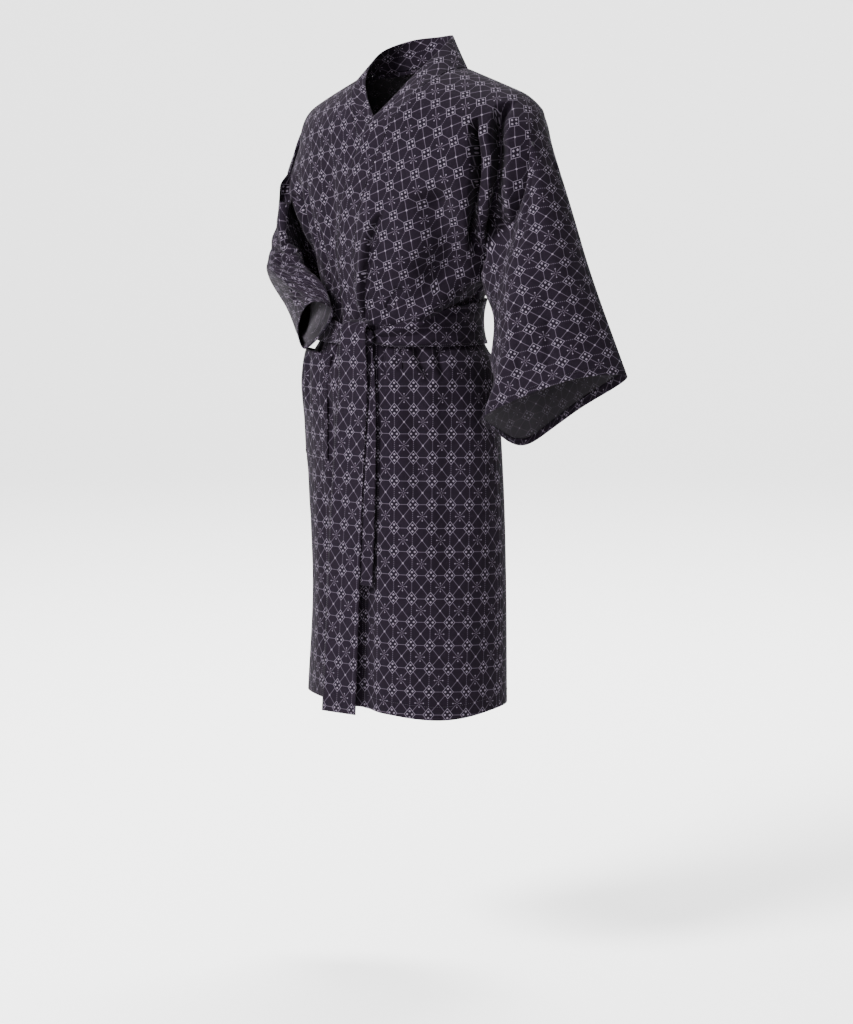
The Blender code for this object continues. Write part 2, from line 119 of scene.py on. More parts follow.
frontCreases = creaseRows(
    (188, -105, 176, -325, 18, 20, 14, 4),  # groove by the left armhole
    (10, -200, -8, -395, -8, 18, 16, -8),
    (-6, -460, -8, -1200, 11, 22, 24, 0),  # valley beside the belt's end
    (64, -462, 86, -720, 9, 18, 22, 6),
    (118, -460, 126, -860, 7, 16, 18, 0),
    (-190, -170, -160, -330, 12, 14, 12, 6),
    (-95, -130, -90, -370, 7, 18, 18, 10),
    (-105, -640, -102, -1000, 8, 18, 18, 0),
)
backCreases = creaseRows(
    (160, -120, 110, -350, 16, 18, 18, 6),
    (-168, -130, -120, -350, 16, 18, 18, -6),
    (30, -230, 20, -385, 8, 18, 18, 0),
    (72, -450, 88, -1200, 12, 22, 26, 6),
    (-20, -450, -14, -900, 10, 20, 22, 0),
    (-104, -450, -120, -1200, 12, 24, 20, -6),
)

leftFolds = foldRows(  # slits by the armhole and beside the middle
    (38, 5.2, (169, -88), (174, -103), (179, -178), (168, -262), (158, -316)),
    (44, 7.8, (202, -62), (206, -82), (212, -142), (209, -206), (198, -258), (166, -340)),
    (24, 3.2, (31, -232), (18, -261), (12, -291), (2, -346), (-7, -402), (4, -430)),
    edge=3,
) + foldRows(
    (-4, 5, (190, -90), (195, -170), (186, -250)),
    (-7, 6, (23, -228), (9, -261), (3, -291), (-8, -346), (-17, -405)),
    (10, 4.8, (58, -350), (42, -370), (30, -392)),
    (4, 4, (-24, -388), (-21, -402), (-19, -416)),
    (8, 4.6, (46, -440), (50, -458), (58, -484)),
    (11, 5.2, (66, -438), (80, -464), (99, -502)),
    (7, 4.6, (95, -440), (103, -464), (114, -496)),
    (4, 4, (24, -438), (29, -466), (30, -500)),
    (24, 28, (106, -190), (124, -250), (128, -300), (80, -360)),
    (-12, 11, (56, -412), (90, -376), (124, -346), (156, -326)),
    (9, 9, (88, -414), (106, -394), (130, -366), (146, -350)),
)
rightFolds = foldRows(
    (8, 5, (-206, -212), (-186, -220), (-174, -240), (-170, -262)),
    (6, 6, (-150, -190), (-140, -240), (-120, -300)),
    (5, 5, (-118, -250), (-106, -310), (-98, -372)),
    (4, 4.5, (-72, -330), (-68, -362), (-70, -396)),
    (4, 4.2, (-78, -440), (-82, -458), (-90, -486)),
    (4, 4.2, (-124, -440), (-128, -452), (-134, -470)),
    (6, 9, (-92, -520), (-86, -610), (-90, -720)),
    (5, 8, (-180, -640), (-176, -740), (-182, -850)),
)
backFolds = foldRows(
    (9, 6, (192, -120), (186, -180), (170, -250)),
    (8, 6, (-190, -130), (-180, -190), (-168, -250)),
    (6, 5, (140, -250), (110, -310), (86, -368)),
    (6, 5, (-142, -260), (-120, -320), (-104, -370)),
    (5, 5, (-40, -290), (-36, -340), (-42, -386)),
    (4, 4.2, (60, -436), (66, -462), (76, -500)),
    (5, 4.2, (10, -436), (14, -470), (10, -510)),
    (4, 4.2, (-50, -436), (-56, -460), (-68, -494)),
    (5, 4.2, (-120, -438), (-128, -462), (-140, -496)),
    (6, 10, (30, -560), (36, -660), (30, -780)),
    (6, 10, (-60, -600), (-68, -720), (-64, -860)),
)


def curve(keys, values, at):
    # a smooth curve through a table, worked out at each entry of at
    keys = np.asarray(keys, float)
    values = np.asarray(values, float)
    slopes = np.gradient(values, keys, axis=0)
    at = np.clip(np.asarray(at, float), keys[0], keys[-1])
    low = np.clip(np.searchsorted(keys, at) - 1, 0, len(keys) - 2)
    span = keys[low + 1] - keys[low]
    t = (at - keys[low]) / span
    if values.ndim > 1:
        shape = t.shape + (1,) * (values.ndim - 1)
        t = t.reshape(shape)
        span = span.reshape(shape)
    start = (2 * t**3 - 3 * t**2 + 1) * values[low] + (t**3 - 2 * t**2 + t) * span * slopes[low]
    end = (3 * t**2 - 2 * t**3) * values[low + 1] + (t**3 - t**2) * span * slopes[low + 1]
    return start + end


def column(table, name, at):
    key = next(iter(table))
    return curve(table[key], table[name], at)


def smooth(share):
    share = np.clip(share, 0.0, 1.0)
    return share * share * (3 - 2 * share)


def unit(vectors):
    return vectors / np.maximum(np.linalg.norm(vectors, axis=-1, keepdims=True), 1e-12)


def inColumns(values, cols):
    # one value for each row, the same in all its columns
    return np.repeat(values[:, None], cols, axis=1)


def shoulderHeight(x):
    out = np.abs(x)
    straight = shoulder["height"] + shoulder["tilt"] * x - shoulder["fall"] * (out - shoulder["fallFrom"])
    return straight - shoulder["roundness"] * np.maximum(out - shoulder["roundFrom"], 0.0) ** 2


def ringHalf(way, first, second, height):
    # how far the body reaches on the first side where way is positive, and on the second elsewhere
    return np.where(way > 0, column(rings, first, height), column(rings, second, height))


def bodyForm(angle, level):
    # angle is 0 at the middle of the front and positive to the wearer's left
    angle = np.asarray(angle, float)
    turned = (angle + math.pi) % (2 * math.pi) - math.pi
    hem = column(hemLine, "level", np.degrees(turned))
    low = np.clip((coat["hemStart"] - level) / (coat["hemStart"] - bottomLevel), 0.0, 1.0)
    height = np.minimum(level, coat["domeStart"])
    sine = np.sin(angle)
    cosine = np.cos(angle)
    half = ringHalf(sine, "left", "right", height)
    deep = ringHalf(cosine, "front", "back", height)
    turn = np.clip((level - coat["domeStart"]) / coat["domeLength"], 0.0, 1.0) * math.pi / 2
    x = half * sine
    y = -deep * cosine * np.cos(turn)
    z = height + (shoulderHeight(x) - coat["domeStart"]) * np.sin(turn)
    return np.stack([x, y, z + (hem - bottomLevel) * low], axis=-1)


def outward(angle, level, turn=0.01, rise=0.002):
    # the way the body faces
    across = bodyForm(angle + turn, level) - bodyForm(angle - turn, level)
    up = bodyForm(angle, level + rise) - bodyForm(angle, level - rise)
    return unit(np.cross(across, up))


def pushAt(x, z, creases):
    push = np.zeros_like(x)
    for crease in creases:
        along = np.array([crease.x1 - crease.x0, crease.z1 - crease.z0])
        length = np.linalg.norm(along)
        along = along / length
        t = ((x - crease.x0) * along[0] + (z - crease.z0) * along[1]) / length
        off = (x - crease.x0) * -along[1] + (z - crease.z0) * along[0]
        off = off - crease.bow * 4 * t * (1 - t)
        width = np.where(off * np.sign(crease.x0 + crease.x1) < 0, crease.inner, crease.outer)
        fade = smooth(np.minimum(t, 1 - t) / coat["creaseFade"])
        push += crease.depth * np.exp(-((off / width) ** 2)) * fade
    return push


def foldPush(places, folds, parts=24):
    # each narrow fold ends where its path does
    push = np.zeros(places.shape[:-1])
    for fold in folds:
        path = curve(np.linspace(0.0, 1.0, len(fold.path)), fold.path, np.linspace(0.0, 1.0, parts + 1))
        far = np.full(push.shape, np.inf)
        along = np.zeros(push.shape)
        for i, (start, step) in enumerate(zip(path[:-1], np.diff(path, axis=0))):
            t = np.clip((places - start) @ step / (step @ step), 0.0, 1.0)
            off = np.linalg.norm(places - start - t[..., None] * step, axis=-1)
            along = np.where(off < far, (i + t) / parts, along)
            far = np.minimum(far, off)
        fade = smooth(np.minimum(along, 1 - along) / coat["foldFade"])
        push += fold.depth * np.exp(-((far / fold.width) ** fold.edge)) * fade
    return push


def surface(angle, level, creases, folds=(), lift=0.0):
    base = bodyForm(angle, level)
    move = lift - pushAt(base[..., 0], base[..., 2], creases) - foldPush(base[..., [0, 2]], folds)
    return base + outward(angle, level) * np.asarray(move)[..., None]


def frontSurface(angle, level, side, lift=0.0, fine=True):
    if side > 0:
        # the left front lies one layer off the right one, and comes down to it at the side and shoulder
        x = bodyForm(angle, level)[..., 0]
        inward = smooth((overlap["side"] - x) / overlap["sideFade"])
        lift = lift + coat["layer"] * inward * smooth((overlap["shoulder"] - level) / overlap["shoulderFade"])
    folds = (leftFolds if side > 0 else rightFolds) if fine else ()
    return surface(angle, level, frontCreases, folds, lift)


def backSurface(angle, level, fine=True):
    return surface(angle, level, backCreases, backFolds if fine else ())


def angleAt(x, level):
    height = np.minimum(level, coat["domeStart"])
    return np.arcsin(np.clip(x / ringHalf(x, "left", "right", height), -1.0, 1.0))


def sideAngle(level, side, face):
    setOn = np.radians(column(armholes, sideName[side] + face, level))
    return side * np.where(level < coat["armpit"] + 1e-6, math.pi / 2 - coat["sideTurn"], setOn)


def seamX(level, side):
    below = column(freeEdge, "x", level) + coat["bandWidth"]
    above = column(neckSeam, "x", level)
    return side * np.where(level < coat["crossing"], below, above)


def bodyLevels(top):
    stops = (bottomLevel, coat["waistSplit"], coat["armpit"], coat["domeStart"], top)
    parts = []
    for low, high in zip(stops[:-1], stops[1:]):
        parts.append(np.linspace(low, high, math.ceil((high - low) / coat["step"]) + 1)[:-1])
    return np.concatenate(parts + [[top]])


def backNeckLevel(x):
    share = np.clip(1 - (x / neckSeam["x"][-1]) ** 2, 0.0, 1.0)
    return topLevel - coat["neckDepth"] * share**coat["neckRound"]


# cloth as grids of points, each with one or more maps of where the point lies on the flat cloth

def gridNormals(points):
    across = np.gradient(points, axis=1)
    if np.allclose(points[:, 0], points[:, -1]):
        across[:, 0] = across[:, -1] = points[:, 1] - points[:, -2]
    return unit(np.cross(across, np.gradient(points, axis=0)))


def reachAlong(points, axis=0):
    # true lengths from the first point of each line
    steps = np.linalg.norm(np.diff(points, axis=axis), axis=-1)
    return np.concatenate([np.zeros_like(np.take(steps, [0], axis=axis)), steps.cumsum(axis=axis)], axis=axis)


def hemRows(depth, gap=coat["hemGap"]):
    # the last row turned under: round the edge, then back along the inside
    def make(points, normals):
        beyond = unit(points[-1] - points[-2])
        middle = points[-1] - normals[-1] * gap / 2
        turns = np.radians((40, 90, 140))
        bend = [middle + (beyond * math.sin(t) + normals[-1] * math.cos(t)) * gap / 2 for t in turns]
        reach = reachAlong(points[::-1]).mean(axis=1)
        count = int(np.searchsorted(reach, depth)) + 1
        return np.concatenate([np.array(bend), (points - normals * gap)[::-1][:count]])
    return make


seamRoll = ((0.0002, 0.0002), (0.0003, 0.0008), (0.0001, 0.0022), (-0.0012, 0.0065))  # beyond, inwards
edgeRoll = ((0.0003, 0.0002), (0.0004, 0.0007), (0.0002, 0.0013))


def rollRows(steps):
    # the seam allowance: the last row rolls in over the edge
    def make(points, normals):
        beyond = unit(points[-1] - points[-2])
        return np.array([points[-1] + beyond * out - normals[-1] * deep for out, deep in steps])
    return make


def atEdge(points, maps, edge, makeRows):
    # rows added past one edge of a grid, its maps carried on at true length
    swap = edge in ("first", "last")
    back = edge in ("bottom", "first")

    def turn(grid):
        grid = np.swapaxes(grid, 0, 1) if swap else grid
        return grid[::-1] if back else grid

    def restore(grid):
        grid = grid[::-1] if back else grid
        return np.swapaxes(grid, 0, 1) if swap else grid

    grid = turn(points)
    full = np.concatenate([grid, makeRows(grid, turn(gridNormals(points)))])
    steps = reachAlong(full[len(grid) - 1:])[1:, :, None]
    carried = []
    for flat in maps:
        flat = turn(flat)
        carried.append(restore(np.concatenate([flat, flat[-1] + unit(flat[-1] - flat[-2]) * steps])))
    return restore(full), carried


def withEdges(points, maps, **edges):
    for edge, makeRows in edges.items():
        points, maps = atEdge(points, maps, edge, makeRows)
    return points, maps


def lengthMap(points, startCol=0):
    # true lengths along each row and each column
    across = reachAlong(points, 1)
    up = reachAlong(points)
    return np.stack([across - across[:, startCol:startCol + 1], up], axis=-1)


def tubeMap(points, turn, own=0.25):
    # a bent tube: true lengths around it, and along it mostly the mean length and only a share of its own,
    # so that the print keeps upright
    lengths = lengthMap(points, points.shape[1] // 2)
    mean = lengths[..., 1].mean(axis=1, keepdims=True)
    lengths[..., 1] = mean + (lengths[..., 1] - mean) * own
    return turnedMap(lengths, turn)


def gridFaces(rows, cols):
    i, j = np.meshgrid(np.arange(rows - 1), np.arange(cols - 1), indexing="ij")
    first = i * cols + j
    return np.stack([first, first + 1, first + cols + 1, first + cols], axis=-1).reshape(-1, 4)


def addMesh(name, points, faces, corners, finishes=()):
    mesh = bpy.data.meshes.new(name)
    mesh.from_pydata(points.reshape(-1, 3).tolist(), [], faces.tolist())
    mesh.uv_layers.new(name="flat").data.foreach_set("uv", corners.astype(np.float32).ravel())
    mesh.shade_smooth()
    for finish in finishes:
        mesh.materials.append(finish)
    piece = bpy.data.objects.new(name, mesh)
    bpy.context.scene.collection.objects.link(piece)
    return piece


weldCorners = (bpy.ops.mesh.remove_doubles, {"threshold": 0.00001})
faceOutward = (bpy.ops.mesh.normals_make_consistent, {"inside": False})
layFlat = (bpy.ops.uv.unwrap, {"method": "ANGLE_BASED", "margin": 0.0})


def editMesh(piece, *steps):
    # each step works on the whole mesh
    bpy.ops.object.select_all(action="DESELECT")
    piece.select_set(True)
    bpy.context.view_layer.objects.active = piece
    bpy.ops.object.mode_set(mode="EDIT")
    bpy.ops.mesh.select_all(action="SELECT")
    for step, settings in steps:
        step(**settings)
    bpy.ops.object.mode_set(mode="OBJECT")


def turnedMap(flat, turn):
    c, s = math.cos(turn), math.sin(turn)
    return np.stack([flat[..., 0] * c - flat[..., 1] * s, flat[..., 0] * s + flat[..., 1] * c], axis=-1)


def flatMap(points, turn=0.0, skip=5):
    # the grid laid flat with the least stretch, at true size, and turned to the grain
    rows, cols = points.shape[:2]
    rowAt = np.unique(np.append(np.arange(0, rows, skip), rows - 1))
    colAt = np.unique(np.append(np.arange(0, cols, skip), cols - 1))
    faces = gridFaces(len(rowAt), len(colAt))
    piece = addMesh("flattening", points[rowAt][:, colAt], faces, np.zeros((faces.size, 2)))
    editMesh(piece, layFlat)
    read = np.zeros(faces.size * 2, np.float32)
    piece.data.uv_layers["flat"].data.foreach_get("uv", read)
    bpy.data.objects.remove(piece)
    flat = np.zeros((len(rowAt) * len(colAt), 2))
    flat[faces.ravel()] = read.reshape(-1, 2)
    lengths = lengthMap(points)[rowAt][:, colAt].reshape(-1, 2)
    flat = flat - flat.mean(axis=0)
    target = lengths - lengths.mean(axis=0)
    left, spread, right = np.linalg.svd(flat.T @ target)
    flat = (flat @ left @ right * (spread.sum() / (flat**2).sum())).reshape(len(rowAt), len(colAt), 2)
    full = curve(rowAt, flat, np.arange(rows))
    full = np.swapaxes(curve(colAt, np.swapaxes(full, 0, 1), np.arange(cols)), 0, 1)
    return turnedMap(full - full[0, 0], turn)


def addSheet(name, points, maps, finishes, splitRow=0, thick=coat["wall"]):
    # one layer of cloth; faces below the split row take the first map, those above it the last one
    rows, cols = points.shape[:2]
    faces = gridFaces(rows, cols)
    below = np.repeat(np.arange(rows - 1), (cols - 1) * 4)[:, None] < splitRow
    corners = np.where(below, maps[0].reshape(-1, 2)[faces.ravel()], maps[-1].reshape(-1, 2)[faces.ravel()])
    piece = addMesh(name, points, faces, corners, finishes)
    editMesh(piece, weldCorners)
    wall = piece.modifiers.new("wall", "SOLIDIFY")
    wall.thickness = thick
    wall.offset = 0.0
    wall.material_offset = len(finishes) - 1
    bpy.ops.object.modifier_apply(modifier="wall")
    return piece


def addDoubled(name, points, flat, finish, half, ring=False, roundness=0.4):
    # a strip sewn double: rows run along it and columns across it, and both its edges are rounded folds
    along = np.gradient(points, axis=0)
    if ring:
        along[0] = along[-1] = points[1] - points[-2]
    normals = unit(np.cross(np.gradient(points, axis=1), along))
    swell = half * np.cos(np.linspace(-math.pi / 2, math.pi / 2, points.shape[1])) ** roundness
    over = points + normals * swell[None, :, None]
    under = points - normals * swell[None, :, None]
    loop = np.concatenate([over, under[:, ::-1][:, 1:]], axis=1)
    mapped = np.concatenate([flat, flat[:, ::-1][:, 1:]], axis=1)
    if not ring:
        # the ends close over the middle of the strip
        middle = (loop + loop[:, ::-1]) / 2
        loop = np.concatenate([middle[:1], loop, middle[-1:]])
        mapped = np.concatenate([mapped[:1], mapped, mapped[-1:]])
    rows, cols = loop.shape[:2]
    faces = gridFaces(rows, cols)
    piece = addMesh(name, loop, faces, mapped.reshape(-1, 2)[faces.ravel()], (finish,))
    editMesh(piece, weldCorners, faceOutward)
    return piece


# finishes

class Value:
    # a socket that takes + - and *, each adding a Math node
    def __init__(self, paint, out):
        self.paint = paint
        self.out = out

    def __add__(self, other):
        return self.paint.math("ADD", self, other)

    def __sub__(self, other):
        return self.paint.math("SUBTRACT", self, other)

    def __mul__(self, other):
        return self.paint.math("MULTIPLY", self, other)

    def __rsub__(self, other):
        return self.paint.math("SUBTRACT", other, self)

    def __abs__(self):
        return self.paint.math("ABSOLUTE", self)

    def __lt__(self, other):
        return self.paint.math("LESS_THAN", self, other)

    def __gt__(self, other):
        return self.paint.math("GREATER_THAN", self, other)


class Paint:
    def __init__(self, name):
        self.material = bpy.data.materials.new(name)
        self.material.use_nodes = True
        self.tree = self.material.node_tree
        self.shader = self.tree.nodes["Principled BSDF"]

    def node(self, kind, settings, inputs, out=0):
        made = self.tree.nodes.new(kind)
        for key, value in settings.items():
            setattr(made, key, value)
        for key, value in inputs.items():
            if isinstance(value, Value):
                self.tree.links.new(value.out, made.inputs[key])
            else:
                made.inputs[key].default_value = value
        return Value(self, made.outputs[out])

    def math(self, operation, *inputs):
        return self.node("ShaderNodeMath", {"operation": operation}, dict(enumerate(inputs)))

    def least(self, *values):
        found = values[0]
        for value in values[1:]:
            found = self.math("MINIMUM", found, value)
        return found

    def far(self, x, y):
        return self.math("SQRT", x * x + y * y)

    def noise(self, vector, scale, detail=2.0):
        return self.node("ShaderNodeTexNoise", {}, {"Vector": vector, "Scale": scale, "Detail": detail})

    def mix(self, share, first, second):
        return self.node("ShaderNodeMix", {"data_type": "RGBA"}, {0: share, 6: first, 7: second}, out=2)

    def under(self, distance, width, soft):
        # 1 where the distance is less than the width, with a soft edge
        return self.node("ShaderNodeMapRange", {"interpolation_type": "SMOOTHSTEP"},
                         {"Value": distance, "From Min": width - soft, "From Max": width + soft,
                          "To Min": 1.0, "To Max": 0.0})

    def bump(self, height, strength, depth):
        values = {"Height": height, "Strength": strength, "Distance": depth}
        self.link("Normal", self.node("ShaderNodeBump", {}, values))

    def set(self, **values):
        for key, value in values.items():
            self.shader.inputs[key.replace("_", " ")].default_value = value

    def link(self, key, value):
        self.tree.links.new(value.out, self.shader.inputs[key])


lattice = {
    "across": 0.0305, "along": 0.0376,          # the repeats over the cloth's width and length
    "diamond": 0.290, "dotPlace": 0.134,        # half a node's diamond and its dots' place, in repeats
    "dotRadius": 0.00165, "outlineHalf": 0.00036,
    "lineHalf": 0.00055, "beadStep": 0.0032, "beadHalf": 0.0010,
    "starRoom": 0.0034,                         # the diagonals stop this far from a star's middle
    "armLength": 0.0056, "armThinner": 0.0001,
    "ringRadius": 0.0018, "ringThinner": 0.0002,
    "tipPlace": 0.0066, "tipRadius": 0.0010, "crossRadius": 0.0015,
    "soft": 0.00030,
    "ground": (0.0032, 0.0020, 0.0040),
    "line": (0.038, 0.030, 0.042, 1.0), "dot": (0.094, 0.079, 0.104, 1.0),
}


def printMasks(paint, u, v):
    # the lattice: diamonds with four dots, joined by lines, beads and crossing diagonals
    a = lattice["across"]
    b = lattice["along"]
    slant = a * b / math.hypot(a, b)
    x = u * (1 / a)
    y = v * (1 / b)
    dx = abs(x - paint.math("ROUND", x))
    dy = abs(y - paint.math("ROUND", y))
    star = paint.math("FLOORED_MODULO", paint.math("FLOOR", x) + paint.math("FLOOR", y), 2.0)
    plain = 1.0 - star
    inside = dx + dy < lattice["diamond"]
    ex = (0.5 - dx) * a
    ey = (0.5 - dy) * b
    centre = paint.far(ex, ey)
    diagonal = abs(dx - dy) * slant + (centre < lattice["starRoom"]) * star + inside
    outline = abs(dx + dy - lattice["diamond"]) * slant
    rowLine = dy * b + inside
    beadPhase = abs(paint.math("FRACT", ey * (1 / lattice["beadStep"])) - 0.5) * lattice["beadStep"]
    beads = dx * a + inside + (beadPhase > lattice["beadHalf"])
    arms = paint.least(ex, ey) + plain + (centre > lattice["armLength"]) + (centre < lattice["ringRadius"])
    ring = abs(centre - lattice["ringRadius"]) + plain
    lines = paint.least(diagonal, rowLine, beads, arms + lattice["armThinner"], ring + lattice["ringThinner"])
    place = lattice["dotPlace"]
    sideDot = paint.far((dx - place) * a, dy * b) - lattice["dotRadius"]
    topDot = paint.far(dx * a, (dy - place) * b) - lattice["dotRadius"]
    cross = centre - lattice["crossRadius"] + star
    acrossTip = paint.far(ex - lattice["tipPlace"], ey) - lattice["tipRadius"] + plain
    alongTip = paint.far(ey - lattice["tipPlace"], ex) - lattice["tipRadius"] + plain
    dots = paint.least(sideDot, topDot, cross, acrossTip, alongTip, outline - lattice["outlineHalf"])
    soft = lattice["soft"]
    return paint.under(lines, lattice["lineHalf"], soft), paint.under(dots, 0.0, soft)


weave = {
    "weft": (90.0, 1100.0, 1.0), "warp": (1100.0, 90.0, 1.0),   # how often a thread's tone changes, per metre
    "cloudOften": 14.0, "cloudDetail": 3.0,
    "lighter": 1.9, "threadTone": 1.6, "cloudTone": 0.7, "middleTone": 0.32,
    "wear": 0.6, "wearMiddle": 0.9,                              # of the print, thread by thread
    "cloudHeight": 0.6, "bump": 0.22, "bumpDepth": 0.0004,
}


def clothFinish(name, printed=1.0, tone=1.0, paler=0.0):
    paint = Paint(name)
    flat = paint.node("ShaderNodeUVMap", {"uv_map": "flat"}, {})
    u = paint.node("ShaderNodeSeparateXYZ", {}, {0: flat}, out=0)
    v = paint.node("ShaderNodeSeparateXYZ", {}, {0: flat}, out=1)
    lineMask, dotMask = printMasks(paint, u, v)
    strands = []
    for way in ("weft", "warp"):
        run = paint.node("ShaderNodeMapping", {}, {"Vector": flat, "Scale": weave[way]})
        strands.append(paint.noise(run, 1.0))
    threads = (strands[0] + strands[1]) * 0.5
    cloud = paint.noise(flat, weave["cloudOften"], weave["cloudDetail"])
    ground = tuple(c * tone + paler for c in lattice["ground"]) + (1.0,)
    light = tuple(c * tone * weave["lighter"] + paler for c in lattice["ground"]) + (1.0,)
    share = (threads - 0.5) * weave["threadTone"] + (cloud - 0.5) * weave["cloudTone"] + weave["middleTone"]
    worn = (threads - 0.5) * weave["wear"] + weave["wearMiddle"]
    colour = paint.mix(share, ground, light)
    colour = paint.mix(lineMask * worn * printed, colour, lattice["line"])
    colour = paint.mix(dotMask * worn * printed, colour, lattice["dot"])
    paint.link("Base Color", colour)
    paint.bump(threads + cloud * weave["cloudHeight"], weave["bump"], weave["bumpDepth"])
    paint.set(Roughness=0.88, Specular_IOR_Level=0.04, Sheen_Weight=0.008, Sheen_Roughness=0.6)
    return paint.material


stitch = {
    "pitch": 0.0034, "length": 0.0023, "radius": 0.00030,
    "rings": (0.22, 0.78),          # shares of its length where a stitch is thickest
    "turns": (90, 210, 330),
    "dark": (0.006, 0.004, 0.008, 1.0), "light": (0.030, 0.024, 0.034, 1.0),
    "strand": 2600.0, "bump": 0.3, "bumpDepth": 0.0001,
}


def threadFinish(name):
    paint = Paint(name)
    strand = paint.noise(paint.node("ShaderNodeTexCoord", {}, {}, out=3), stitch["strand"], 1.0)
    paint.link("Base Color", paint.mix(strand, stitch["dark"], stitch["light"]))
    paint.bump(strand, stitch["bump"], stitch["bumpDepth"])
    paint.set(Roughness=0.75, Specular_IOR_Level=0.2)
    return paint.material


clothFace = clothFinish("cottonRightSide")
clothWrong = clothFinish("cottonWrongSide", printed=0.45, paler=0.011)
beltFace = clothFinish("beltCotton", tone=1.1)
bothSides = (clothFace, clothWrong)
sewingThread = threadFinish("cottonThread")
print("finishes made")

sewnLines = {  # rows and columns of a grid of cloth
    "hem": (np.s_[5, 2:-2],),
    "cuff": (np.s_[-4],),
    "strip": (np.s_[2:-2, 1],),
    "ring": (np.s_[:, 1],),
    "pocket": (np.s_[1:, 1], np.s_[1, 1:-1], np.s_[1:, -2], np.s_[-6, 1:-1]),
}


def sewn(points, kind, off=coat["wall"], side=1):
    # where thread lies on the outer face of a grid of cloth, and the way the cloth faces there
    normals = gridNormals(points) * side
    lifted = points + normals * off
    return [(lifted[line], normals[line]) for line in sewnLines[kind]]


def stitchRow(line, normals):
    # the corners of each stitch along a line: two tips and two three-sided rings between them
    reach = reachAlong(line)
    starts = np.arange(int(reach[-1] / stitch["pitch"])) * stitch["pitch"]

    def at(values, where):
        return np.stack([np.interp(where, reach, values[:, i]) for i in range(3)], axis=-1)

    first = at(line, starts)
    along = at(line, starts + stitch["length"]) - first
    up = unit(at(normals, starts))
    side = unit(np.cross(up, along))
    corners = [first]
    for share in stitch["rings"]:
        for turn in np.radians(stitch["turns"]):
            out = (side * math.cos(turn) + up * math.sin(turn)) * stitch["radius"]
            corners.append(first + along * share + out)
    return np.stack(corners + [first + along], axis=1)


def addStitches(name, rows):
    corners = np.concatenate([stitchRow(line, normals) for line, normals in rows])
    count, size = corners.shape[:2]
    one = []
    for a, b in ((1, 2), (2, 3), (3, 1)):
        one += [(0, b, a), (a, b, b + 3), (a, b + 3, a + 3), (size - 1, a + 3, b + 3)]
    faces = (np.arange(count)[:, None, None] * size + np.array(one)).reshape(-1, 3)
    piece = addMesh(name, corners, faces, np.zeros((faces.size, 2)), (sewingThread,))
    editMesh(piece, faceOutward)
    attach(piece, "root")
    print(name, "done:", count, "stitches")
    return piece


def finishCloth(piece, look, rows):
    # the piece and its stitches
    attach(piece, "root")
    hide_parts(look["node"])
    print(piece.name, "done:", sum(len(f.vertices) - 2 for f in piece.data.polygons), "triangles")
    stitches = [addStitches(piece.name + "Stitches", rows)] if rows else []


# the fronts and the back

frontLeft = {
    "name": "frontLeft", "node": "front_left", "side": 1, "cols": 140,
    "chestTurn": 0.21,
    "place": (0.0, 0.36, 0.84, 1.0), "share": (0.0, 0.46, 0.86, 1.0),  # columns closer by the armhole
    "flat": (0.33, 1.12), "area": 0.300, "held": "hung", "on": ("backPanel",),
}
frontRight = {
    "name": "frontRight", "node": "front_right", "side": -1, "cols": 104,
    "chestTurn": -0.15,
    "place": (0.0, 1.0), "share": (0.0, 1.0),
    "flat": (0.33, 1.12), "area": 0.300, "held": "hung", "on": ("backPanel",),
}


def panelMaps(points, splitRow, chestTurn):
    # the skirt and the chest are laid flat apart, and meet under the belt
    skirt = np.zeros(points.shape[:2] + (2,))
    chest = np.zeros(points.shape[:2] + (2,))
    skirt[:splitRow + 1] = flatMap(points[:splitRow + 1])
    chest[splitRow:] = flatMap(points[splitRow:], chestTurn)
    return [skirt, chest]


def addPanel(look, levels, points, plain):
    splitRow = int(np.argmin(np.abs(levels - coat["waistSplit"])))
    maps = panelMaps(plain, splitRow, look["chestTurn"])
    before = len(points)
    rows = sewn(points, "hem")
    seam = rollRows(seamRoll)
    points, maps = withEdges(points, maps, first=seam, last=seam, bottom=hemRows(coat["hemDepth"]))
    splitRow += len(points) - before
    points, maps = withEdges(points, maps, top=seam)
    finishCloth(addSheet(look["name"], points, maps, bothSides, splitRow), look, rows)


def makeFront(look):
    side = look["side"]
    levels = bodyLevels(topLevel)
    inner = angleAt(seamX(levels, side), levels)
    outer = sideAngle(levels, side, "Front")
    share = np.interp(np.linspace(0.0, 1.0, look["cols"]), look["place"], look["share"])
    angles = inner[:, None] + (outer - inner)[:, None] * share
    levelGrid = inColumns(levels, look["cols"])
    points, plain = (frontSurface(angles, levelGrid, side, fine=fine) for fine in (True, False))
    if side < 0:
        points, plain = points[:, ::-1], plain[:, ::-1]
    addPanel(look, levels, points, plain)


backLook = {
    "name": "backPanel", "node": "back", "outerCols": 42, "neckCols": 56,
    "chestTurn": 0.0,
    "flat": (0.52, 1.10), "area": 0.500, "held": "hung", "on": ("frontLeft", "frontRight"),
}


